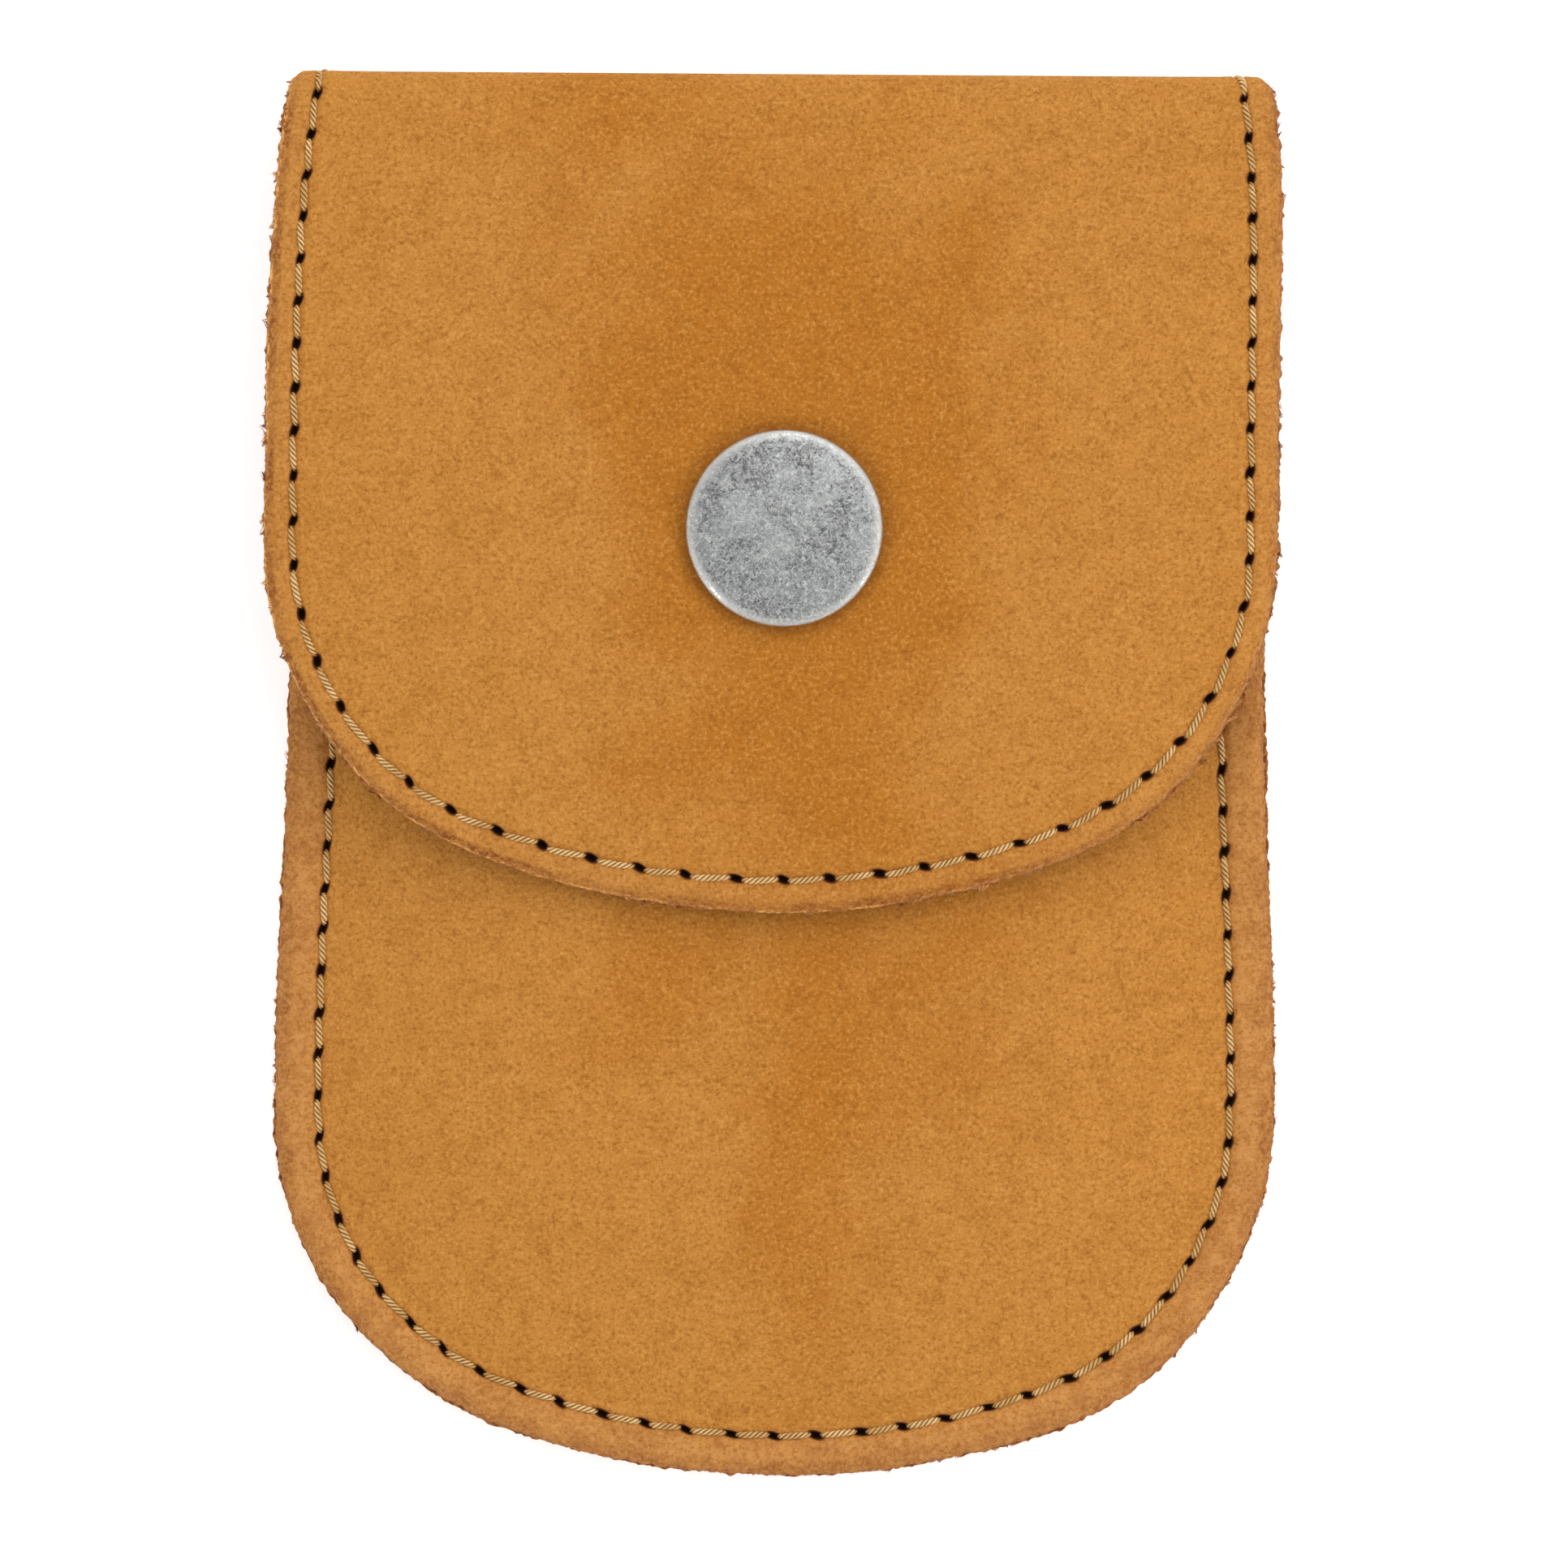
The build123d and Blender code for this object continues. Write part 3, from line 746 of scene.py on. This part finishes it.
def nubuck():
    """Tan nubuck: a short nap, darker in a broad band down the middle round the snap, a worn brown edge over
    a pale core.
    """
    m = Shading("nubuck", "leather")
    cloud = m.noise(20, 3, 0.55, 0.4)
    mottle = m.noise(2.6, 4, 0.65, 0.4)
    fleck = m.noise(0.75, 3, 0.7, 0.5)
    nap = m.noise(0.3, 3, 0.75)
    # darker in a broad band down the middle round the snap, varied by a large cloud
    darker_middle = m.math("ADD", m.spot((SNAP_X, SNAP_Y, 0), (15, 48, 60)), m.ramp(cloud, 0.3, 0.7, -0.35, 0.35))
    m.colour = m.mix(m.ramp(darker_middle, 0.2, 0.95), srgb(194, 131, 58), srgb(181, 113, 37))
    # mottling, flecks and the nap's dark and light tips
    m.paint(m.ramp(mottle, 0.42, 0.68, 0.0, 0.28), srgb(162, 100, 32))
    m.paint(m.ramp(fleck, 0.5, 0.7, 0.0, 0.35), srgb(150, 89, 30))
    m.paint(m.ramp(nap, 0.52, 0.66, 0.0, 0.6), srgb(140, 82, 22))
    m.paint(m.ramp(nap, 0.48, 0.34, 0.0, 0.45), srgb(222, 166, 90))
    # the rubbed margin outside the seam, and painted shade in the ring where the snap presses into the
    # leather
    rubbed = m.math("MULTIPLY", m.attribute("margin"), m.ramp(nap, 0.35, 0.62, 0.65, 0.15))
    m.paint(rubbed, srgb(206, 148, 92))
    smudge = m.ramp(m.noise(1.3, 4, 0.75), 0.42, 0.66, 0.0, 0.35)
    m.paint(m.math("MULTIPLY", m.attribute("margin"), smudge), srgb(146, 78, 34))
    # painted shade in a ring round the snap's edge
    m.paint(m.math("MULTIPLY", m.attribute("snap_shade"), 0.35), srgb(120, 66, 26))
    # the worn corner, the cut's pale core and its dark foot
    blotch = m.ramp(m.noise(0.45, 4, 0.75), 0.42, 0.6)
    wear = m.ramp(m.noise(5.0, 3, 0.6), 0.35, 0.6, 0.2, 0.8)
    wear = m.math("MULTIPLY", wear, m.ramp(m.attribute("crisp"), 0.0, 1.0, 0.6, 1.0))
    rolled = m.math("MULTIPLY", m.ramp(m.attribute("roll"), 0.3, 0.8), wear)
    m.paint(m.math("MULTIPLY", rolled, m.ramp(blotch, 0.0, 1.0, 0.25, 1.0)), srgb(118, 56, 16))
    crisp = m.math("MULTIPLY", m.attribute("crisp"), m.ramp(m.noise(2.2, 4, 0.7), 0.4, 0.56))
    core = m.mix(crisp, srgb(180, 122, 64), srgb(238, 172, 92))
    core = m.mix(m.ramp(blotch, 0.0, 1.0, 0.0, 0.7), core, srgb(140, 78, 32))
    cut = m.math("ADD", m.attribute("cut"), m.ramp(m.noise(0.3, 3, 0.7), 0.3, 0.7, -0.05, 0.05))
    m.paint(m.ramp(cut, 0.06, 0.12), core)
    m.paint(m.ramp(cut, 0.45, 0.75), srgb(122, 62, 20))
    # needle holes: painted shade, dark brown at their rims and near black inside
    m.paint(m.ramp(m.attribute("hole"), 0.08, 0.35), srgb(104, 54, 22))
    m.paint(m.ramp(m.attribute("hole"), 0.3, 0.6), srgb(34, 14, 9))
    height = m.math("ADD", m.math("MULTIPLY", nap, 0.6), m.math("MULTIPLY", fleck, 0.5))
    fine = m.bump(height, 0.16, 0.9, under=m.bump(mottle, 0.15, 0.5))
    rough = m.ramp(m.attribute("roll"), 0.6, 0.9, 0.93, 0.75)
    return m.finish(Roughness=rough, Normal=fine, Specular_IOR_Level=0.12, Sheen_Weight=0.04,
                    Sheen_Roughness=0.45, Sheen_Tint=srgb(255, 214, 160))


def suede_lining():
    """Thin suede lining: paler brown, longer loose nap, frayed darker edge."""
    m = Shading("suede_lining", "lining")
    nap = m.noise(0.5, 4, 0.65, 0.6)
    cloud = m.noise(9, 3)
    m.colour = m.mix(m.ramp(cloud, 0.35, 0.65), srgb(164, 112, 66), srgb(182, 130, 82))
    m.paint(m.ramp(nap, 0.35, 0.65, 0.0, 0.5), srgb(128, 82, 46))
    cut = m.math("ADD", m.attribute("cut"), m.ramp(m.noise(0.25, 2), 0.3, 0.7, -0.2, 0.2))
    frayed = m.mix(m.ramp(m.noise(0.5, 3, 0.7), 0.42, 0.6), srgb(178, 114, 58), srgb(118, 62, 24))
    m.paint(m.ramp(cut, 0.1, 0.5), frayed)
    # painted shade, near black, inside the needle holes
    m.paint(m.ramp(m.attribute("hole"), 0.25, 0.7), srgb(22, 12, 7))
    normal = m.bump(nap, 0.14, 0.9)
    return m.finish(Roughness=0.96, Normal=normal, Specular_IOR_Level=0.12, Sheen_Weight=0.25,
                    Sheen_Roughness=0.5, Sheen_Tint=srgb(240, 205, 165))


def sewing_thread():
    """Waxed beige thread: fine filaments along each ply, painted shade between the plies and where each
    stitch dips into its holes.
    """
    m = Shading("sewing_thread", "thread")
    filament = m.noise(0.16, 2, 0.6)
    tone = m.noise(2.4, 2)
    m.colour = m.mix(m.ramp(tone, 0.35, 0.65), srgb(206, 164, 98), srgb(236, 198, 134))
    m.paint(m.ramp(filament, 0.4, 0.7, 0.0, 0.4), srgb(164, 122, 72))
    # painted shade in the crevices between the plies
    m.paint(m.ramp(m.attribute("inner"), 0.06, 0.36, 0.0, 0.72), srgb(126, 82, 40))
    # painted shade where the thread dips into the holes at a stitch's ends
    m.paint(m.ramp(m.attribute("dark"), 0.1, 0.8, 0.0, 0.9), srgb(60, 38, 20))
    return m.finish(Roughness=0.55, Normal=m.bump(filament, 0.03, 0.7), Specular_IOR_Level=0.4)


def loose_fibre():
    """Loose fibres of a cut edge."""
    m = Shading("loose_fibre", "lining")
    m.colour = m.mix(m.ramp(m.noise(0.8, 1), 0.35, 0.65), srgb(140, 74, 32), srgb(206, 142, 84))
    return m.finish(Roughness=0.9, Specular_IOR_Level=0.2)


def worn_metal(name, slot, base, dark, light, roughness, use_rest):
    """Plated metal tumbled to a matt patina: fine dark pits under a mesh of pale scuffs.

    The cap's rim is smoother and has fewer pits, as rubbed metal has, and it is paler, partly as rubbed metal
    and partly as a painted highlight. The CAD nodes carry no rim."""
    m = Shading(name, slot, use_rest)
    cloud = m.noise(2.4, 3, 0.6)
    rim, ring = m.attribute("rim"), m.attribute("ring")
    spread = m.math("ADD", m.ramp(cloud, 0.3, 0.7, -0.05, 0.07), m.math("MULTIPLY", ring, 0.02))
    grain = m.math("ADD", m.noise(0.3, 5, 0.8, 0.8), spread)
    pits = m.ramp(grain, 0.5, 0.62)
    scuffs = m.ramp(m.noise(0.34, 5, 0.8, 1.2), 0.5, 0.63)
    pale_line = m.curls(0.9, 1.6)
    m.colour = m.mix(m.ramp(cloud, 0.35, 0.65, 0.0, 0.25), base, dark)
    m.paint(m.math("MULTIPLY", pits, m.ramp(rim, 0.0, 0.9, 0.85, 0.25)), dark)
    m.paint(m.math("MULTIPLY", scuffs, 0.6), light)
    m.paint(m.math("MULTIPLY", pale_line, 0.4), light)
    # paler rim: partly rubbed metal, partly a painted highlight
    m.paint(m.ramp(rim, 0.0, 0.8, 0.0, 0.6), light)
    rough = m.ramp(grain, 0.4, 0.65, roughness - 0.05, roughness + 0.08)
    rough = m.math("SUBTRACT", rough, m.math("MULTIPLY", rim, 0.18))
    height = m.math("SUBTRACT", scuffs, pits)
    return m.finish(Metallic=1.0, Roughness=rough, Normal=m.bump(height, 0.02, 0.4))


def pale_floor():
    """Matt off-white floor with a hint of paper tooth, which glows a little so that it stays white."""
    m = Shading("pale_floor", None, use_rest=False)
    tooth = m.noise(0.6, 2)
    m.colour = m.mix(m.ramp(tooth, 0.3, 0.7), srgb(200, 200, 199), srgb(206, 206, 206))
    return m.finish(Roughness=0.95, Specular_IOR_Level=0.1,
                    Emission_Color=srgb(255, 255, 255), Emission_Strength=0.62)


# -------------------- pieces on their bodies
def dress(thing, shading):
    """Gives a piece or a CAD node its one material."""
    thing.data.materials.clear()
    thing.data.materials.append(shading.material)
    return thing


def bend_upper(thing):
    """Bakes the placement of a piece that crosses the upper crease into its mesh."""
    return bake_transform(thing)


def bend_lower(thing):
    """Bakes the placement of a piece that crosses the lower crease into its mesh."""
    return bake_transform(thing)


def build_flap(leather, lining, thread, fibre):
    """The flap and the upper half of the fold."""
    shell = Shell(is_flap=True)
    top = -shell.fold_run
    seam = Seam(FLAP, top, shell.to_run, FLAP_PITCH, FLAP_STEP, phase=0.28)
    circles = [CAP_RADIUS + more for more in (-1.0, -0.4, 0.0, 0.4, 0.9, 1.6)]
    sheet = Sheet(FLAP, top, shell, seam, FLAP_STEP, circles)
    relief = sheet.seam_relief(0.2, 0.75) + sheet.edge_roll(0.42)
    relief += sheet.snap_press(CAP_RADIUS + 0.8, 0.32)
    outer = build_leather("flap_leather", sheet, shell, -1, relief, 0.07, 1, crisp=1.0)
    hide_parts("flap_panel", "fold_panel")
    bend_upper(dress(outer, leather))
    inner = build_lining("flap_lining_suede", sheet, shell, -1, 0.2, 21)
    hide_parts("flap_lining", "fold_lining")
    bend_upper(dress(inner, lining))
    over = build_stitches("flap_stitches_outer", seam, shell, -1, -0.08, 41)
    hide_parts("flap_outer_thread", "fold_outer_thread")
    bend_upper(dress(over, thread))
    below = build_stitches("flap_stitches_inner", seam, shell, 1, SHELL + 0.02, 42, dive=0.55)
    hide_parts("flap_inner_thread", "fold_inner_thread")
    bend_upper(dress(below, thread))
    depths = (LEATHER * 0.4, SHELL)
    fuzz = build_fibres("flap_edge_fibres", FLAP, FIBRE_START, shell, -1, depths, 1000, 0.4, 61)
    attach(dress(fuzz, fibre), "flap")


def build_back(leather, lining, thread, fibre):
    """The back and the lower half of the fold. Returns its seam, whose holes the front panel shares."""
    shell = Shell(is_flap=False)
    top = -shell.fold_run
    seam = Seam(BODY, top, shell.to_run, BODY_PITCH, BODY_STEP)
    sheet = Sheet(BODY, top, shell, seam, BODY_STEP)
    relief = sheet.seam_relief(0.5, 0.4) + sheet.edge_roll(0.3)
    outer = build_leather("back_leather", sheet, shell, 1, relief, 0.09, 3)
    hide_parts("back_panel", "fold_panel")
    bend_lower(dress(outer, leather))
    inner = build_lining("back_lining_suede", sheet, shell, 1, 0.14, 23)
    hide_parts("back_lining", "fold_lining")
    bend_lower(dress(inner, lining))
    over = build_stitches("back_stitches_outer", seam, shell, 1, -0.31, 43, dive=0.5)
    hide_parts("body_back_thread", "fold_outer_thread")
    bend_lower(dress(over, thread))
    # Below the pocket's mouth the thread's inner side lies between back and front, out of sight.
    half = len(seam.run) // 2
    mouth_count = np.interp(float(shell.to_run(MOUTH)), seam.run[:half], seam.count[:half])
    below = build_stitches("back_stitches_inner", seam, shell, -1, SHELL + 0.02, 44, dive=0.55,
                           keep=lambda hole: abs(hole + 0.5) > abs(mouth_count) + 0.4)
    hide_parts("fold_inner_thread")
    bend_lower(dress(below, thread))
    fuzz = build_fibres("body_edge_fibres", BODY, FIBRE_START, shell, 1, (0.3, SHELL), 1200, 0.28, 62)
    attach(dress(fuzz, fibre), "pouch")
    return seam


def build_front(leather, thread, back_seam):
    """The front panel with its raised middle, open at the top."""
    face = Front()
    seam = Seam(BODY, MOUTH, face.to_run, BODY_PITCH, BODY_STEP, like=back_seam)
    stud = corners("snap_stud")
    stud_radius = (stud[1] - stud[0])[0] / 2
    circles = [stud_radius + more for more in (-0.6, 0.0, 0.5, 1.1)]
    sheet = Sheet(BODY, MOUTH, face, seam, BODY_STEP, circles)
    relief = sheet.seam_relief(0.2, 0.7) + sheet.edge_roll(0.4)
    relief = relief + sheet.snap_press(stud_radius + 0.3, 0.15)
    panel = build_leather("front_leather", sheet, face, -1, relief, 0.1, 7)
    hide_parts("front_panel")
    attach(dress(panel, leather), "pouch")
    over = build_stitches("front_stitches", seam, face, -1, -0.08, 45)
    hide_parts("body_front_thread")
    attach(dress(over, thread), "pouch")


def build_snap(metal_seen, metal_hidden, spring):
    """The cap is spun here; the socket, stud, post and spring are the CAD's own."""
    cap = build_cap("snap_cap_antiqued")
    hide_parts("snap_cap")
    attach(dress(cap, metal_seen), "flap")
    for node in ("snap_socket", "snap_stud", "snap_post"):
        dress(frame["nodes"][node], metal_hidden)
    dress(frame["nodes"]["snap_spring"], spring)


# -------------------- studio, in metres
FLOOR_SIZE = 6
FLOOR_GAP = 0.00005            # the floor lies this far below the object
LAMP_TARGET = (0, 0, 0.005)
# name, place, width, watts
LAMPS = (("key", (0.2, 0.72, 1.15), 1.6, 9.5),
         ("fill_left", (-1.0, -0.7, 0.85), 0.54, 3.1),
         ("fill_right", (1.05, -0.6, 0.85), 0.54, 3.2),
         ("glint_right", (1.2, 0.02, 0.85), 0.42, 1.9))
SKY_LOW, SKY_HIGH = 1.02, 0.39     # brightness at the horizon and overhead
LENS, SENSOR = 600.0, 36.0     # millimetres
VIEW_WIDTH = 119.26            # width of the picture at the point aimed at, in millimetres
AIM = (0.0006, -0.0006, 0.008)
CAMERA_ROLL = 0.38             # degrees


def look_at(thing, place_at, target):
    """Puts a light or camera at a place, pointing at a target."""
    thing.location = place_at
    direction = Vector(target) - Vector(place_at)
    thing.rotation_euler = direction.to_track_quat("-Z", "Y").to_euler()
    bpy.context.collection.objects.link(thing)


def soft_light(name, place_at, target, size, power):
    """Round area light, in metres and watts, that the camera doesn't see."""
    light = bpy.data.lights.new(name, "AREA")
    light.shape = "DISK"
    light.size = size
    light.energy = power
    lamp = bpy.data.objects.new(name, light)
    lamp.visible_camera = False
    look_at(lamp, place_at, target)


def build_sky():
    """Soft white surroundings, brighter towards the horizon than overhead."""
    world = bpy.data.worlds.new("studio")
    world.use_nodes = True
    tree = world.node_tree
    direction = tree.nodes.new("ShaderNodeTexCoord")
    height = tree.nodes.new("ShaderNodeSeparateXYZ")
    ramp = tree.nodes.new("ShaderNodeMapRange")
    tree.links.new(direction.outputs["Generated"], height.inputs[0])
    tree.links.new(height.outputs["Z"], ramp.inputs["Value"])
    for key, value in (("From Min", 0.0), ("From Max", 1.0), ("To Min", SKY_LOW), ("To Max", SKY_HIGH)):
        ramp.inputs[key].default_value = value
    background = tree.nodes["Background"]
    background.inputs["Color"].default_value = (1, 1, 1, 1)
    tree.links.new(ramp.outputs[0], background.inputs["Strength"])
    bpy.context.scene.world = world


def build_studio():
    """Pale floor, a large lamp on the fold's side, small low lamps for the cap's rim, camera above."""
    bpy.ops.mesh.primitive_plane_add(size=FLOOR_SIZE, location=(0, 0, -FLOOR_GAP))
    floor = bpy.context.object
    floor.name = "floor"
    floor.data.materials.append(pale_floor().material)

    for name, place_at, size, power in LAMPS:
        soft_light(name, place_at, LAMP_TARGET, size, power)
    build_sky()
    bpy.context.scene.view_settings.view_transform = "Standard"

    camera = bpy.data.objects.new("camera", bpy.data.cameras.new("camera"))
    camera.data.lens = LENS
    camera.data.sensor_width = SENSOR
    camera.data.clip_end = 20
    look_at(camera, (AIM[0], AIM[1], AIM[2] + VIEW_WIDTH * MM * LENS / SENSOR), AIM)
    camera.rotation_euler.z += math.radians(CAMERA_ROLL)
    bpy.context.scene.camera = camera


leather, lining, thread, fibre = nubuck(), suede_lining(), sewing_thread(), loose_fibre()
build_flap(leather, lining, thread, fibre)
back_seam = build_back(leather, lining, thread, fibre)
build_front(leather, thread, back_seam)
metal_seen = worn_metal("antique_nickel_worn", "antique_nickel", srgb(156, 158, 158), srgb(84, 84, 86),
                        srgb(222, 222, 218), 0.46, True)
metal_hidden = worn_metal("antique_nickel_hidden", "antique_nickel", srgb(170, 168, 162), srgb(104, 102, 98),
                          srgb(206, 204, 198), 0.38, False)
spring = worn_metal("spring_steel_wire", "spring_steel", srgb(190, 192, 196), srgb(140, 142, 146),
                    srgb(216, 218, 222), 0.28, False)
build_snap(metal_seen, metal_hidden, spring)
build_studio()
